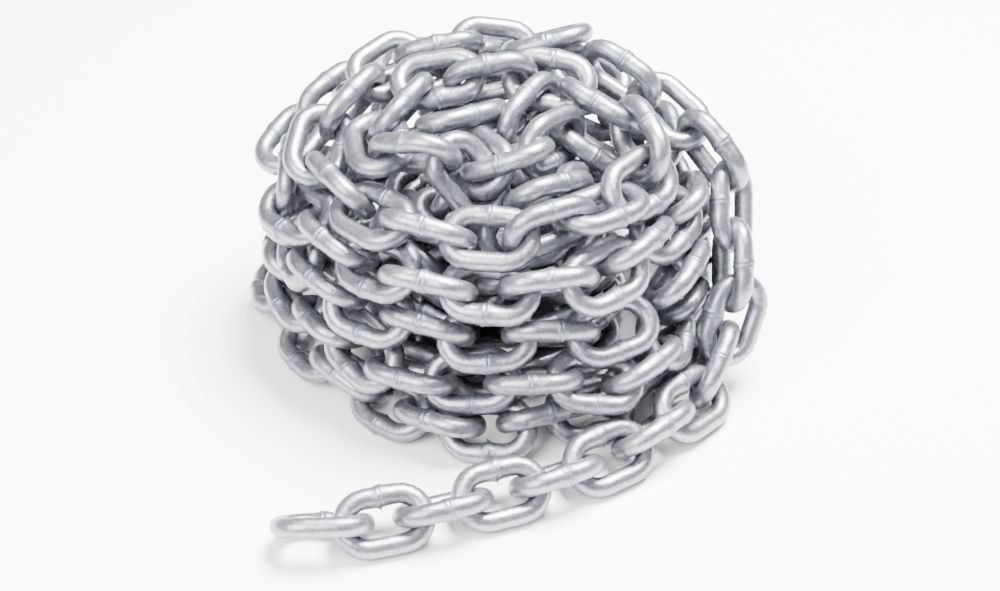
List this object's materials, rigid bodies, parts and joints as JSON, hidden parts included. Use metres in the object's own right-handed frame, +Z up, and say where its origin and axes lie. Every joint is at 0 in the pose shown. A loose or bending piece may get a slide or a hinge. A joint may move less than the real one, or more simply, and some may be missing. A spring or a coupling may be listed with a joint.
{
  "type": "heap of steel chain",
  "caption": "Heap of galvanised short-link steel chain, coiled in turns on the floor with its free end trailing in front.",
  "frame": {"origin": "on the floor, under the middle of the heap", "axes": "+Z up, -Y towards the free end that trails on the floor in front, X to the right in the picture"},
  "size_m": [0.2194, 0.248, 0.124],
  "materials": {
    "galvanised_steel": "hot-dip galvanised, light grey, satin, mottled"
  },
  "bodies": {
    "root": {"bottom_turn_back": "galvanised_steel", "bottom_turn_front": "galvanised_steel", "climbing_run": "galvanised_steel", "core": "galvanised_steel", "fourth_turn_back": "galvanised_steel", "fourth_turn_front": "galvanised_steel", "hidden_top": "galvanised_steel", "hidden_turn_1": "galvanised_steel", "hidden_turn_2": "galvanised_steel", "hidden_turn_3": "galvanised_steel", "second_turn_back": "galvanised_steel", "second_turn_front": "galvanised_steel", "tail_link_1": "galvanised_steel", "tail_link_2": "galvanised_steel", "tail_link_3": "galvanised_steel", "tail_link_4": "galvanised_steel", "tail_link_5": "galvanised_steel", "tail_link_6": "galvanised_steel", "tail_link_7": "galvanised_steel", "tail_link_8": "galvanised_steel", "tail_link_9": "galvanised_steel", "third_turn_back": "galvanised_steel", "third_turn_front": "galvanised_steel", "top_inner_turn": "galvanised_steel", "top_outer_turn": "galvanised_steel"}
  },
  "joints": []
}
